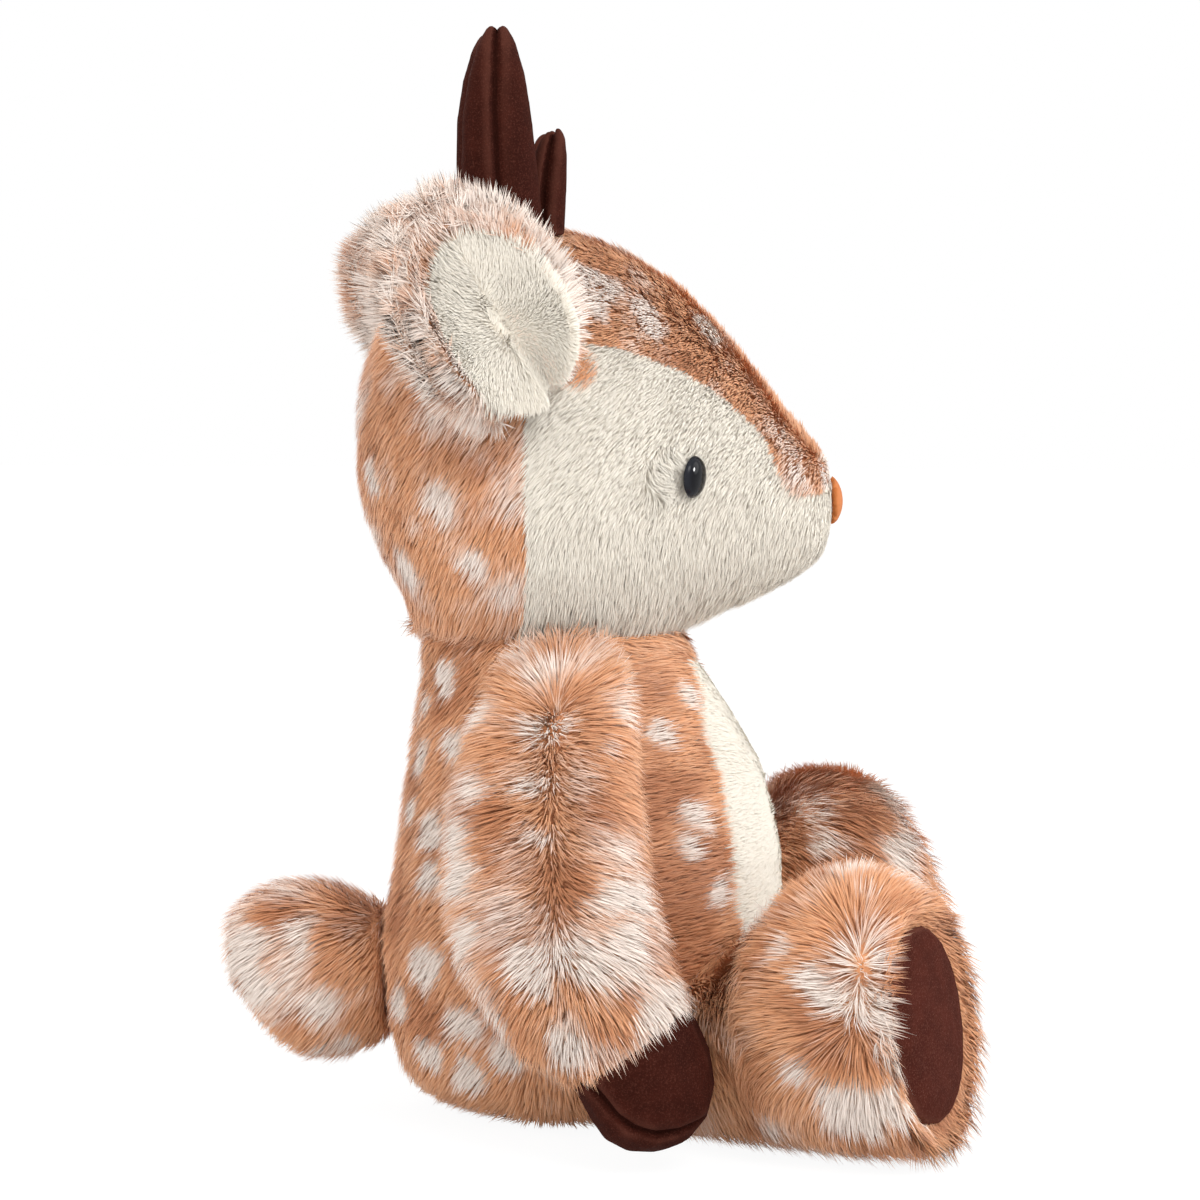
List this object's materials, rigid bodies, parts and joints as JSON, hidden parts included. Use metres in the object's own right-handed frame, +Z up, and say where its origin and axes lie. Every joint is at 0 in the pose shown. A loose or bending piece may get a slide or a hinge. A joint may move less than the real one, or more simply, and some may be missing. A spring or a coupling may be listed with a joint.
{
  "type": "plush deer",
  "caption": "Sitting soft toy deer with spotted plush fur, cream face and tummy, suede antlers, hooves and sole pads, glossy eyes, hanging arms and a lobed tail.",
  "frame": {"origin": "on the floor, on the flat of the seat under the middle of the body", "axes": "+Z up, -Y out of the deer's chest, and -X to the deer's right"},
  "size_m": [0.2114, 0.2312, 0.3266],
  "materials": {
    "brown_plush": "long-pile plush",
    "cream_plush": "short dense plush",
    "suede": "matt suede with a fine nap",
    "nose_velour": "shaved velour",
    "filling": "loose fibre",
    "bean_cloth": "plain woven",
    "eye_black": "gloss",
    "washer_white": "satin"
  },
  "bodies": {
    "body": {"body_plush": "brown_plush", "tummy_panel": "cream_plush", "body_stuffing": "filling", "seat_bean_bag": "bean_cloth"},
    "head": {"head_plush": "brown_plush", "face_patch": "cream_plush", "head_stuffing": "filling", "nose": "nose_velour", "eye_right": "eye_black", "eye_washer_right": "washer_white", "antler_right": "suede", "antler_branch_right": "suede", "eye_left": "eye_black", "eye_washer_left": "washer_white", "antler_left": "suede", "antler_branch_left": "suede"},
    "tail": {"tail_plush": "brown_plush", "tail_stuffing": "filling"},
    "ear_right": {"ear_back_right": "brown_plush", "ear_front_right": "cream_plush"},
    "arm_right": {"arm_plush_right": "brown_plush", "arm_stuffing_right": "filling", "hoof_right": "suede"},
    "leg_right": {"leg_plush_right": "brown_plush", "leg_stuffing_right": "filling", "sole_pad_right": "suede"},
    "ear_left": {"ear_back_left": "brown_plush", "ear_front_left": "cream_plush"},
    "arm_left": {"arm_plush_left": "brown_plush", "arm_stuffing_left": "filling", "hoof_left": "suede"},
    "leg_left": {"leg_plush_left": "brown_plush", "leg_stuffing_left": "filling", "sole_pad_left": "suede"}
  },
  "joints": [
    {"name": "head_turn", "type": "hinge", "parent": "body", "child": "head", "pos_m": [0, 0.0075, 0.1475], "axis": [0, 0, 1], "range_deg": [-43, 27], "stiffness_Nm_per_rad": 0.05},
    {"name": "arm_right_lift", "type": "hinge", "parent": "body", "child": "arm_right", "pos_m": [-0.0376, 0, 0.1475], "axis": [0, 1, 0], "range_deg": [0, 35]},
    {"name": "arm_left_lift", "type": "hinge", "parent": "body", "child": "arm_left", "pos_m": [0.0376, 0, 0.1475], "axis": [0, -1, 0], "range_deg": [0, 35]},
    {"name": "leg_right_lift", "type": "hinge", "parent": "body", "child": "leg_right", "pos_m": [-0.0374, -0.0365, 0.055], "axis": [-0.891, 0.454, 0], "range_deg": [0, 20]},
    {"name": "leg_left_lift", "type": "hinge", "parent": "body", "child": "leg_left", "pos_m": [0.045, -0.054, 0.07], "axis": [-0.8746, -0.4848, 0], "range_deg": [0, 8]},
    {"name": "tail_lift", "type": "hinge", "parent": "body", "child": "tail", "pos_m": [0, 0.054, 0.064], "axis": [1, 0, 0], "range_deg": [0, 35]},
    {"name": "ear_right_fold", "type": "hinge", "parent": "head", "child": "ear_right", "pos_m": [-0.04, 0.019, 0.208], "axis": [-0.9045, -0.3015, -0.3015], "range_deg": [0, 25], "stiffness_Nm_per_rad": 0.02, "springref_deg": -17.19},
    {"name": "ear_left_fold", "type": "hinge", "parent": "head", "child": "ear_left", "pos_m": [0.04, 0.019, 0.208], "axis": [-0.9045, 0.3015, -0.3015], "range_deg": [0, 25], "stiffness_Nm_per_rad": 0.02, "springref_deg": -17.19}
  ]
}
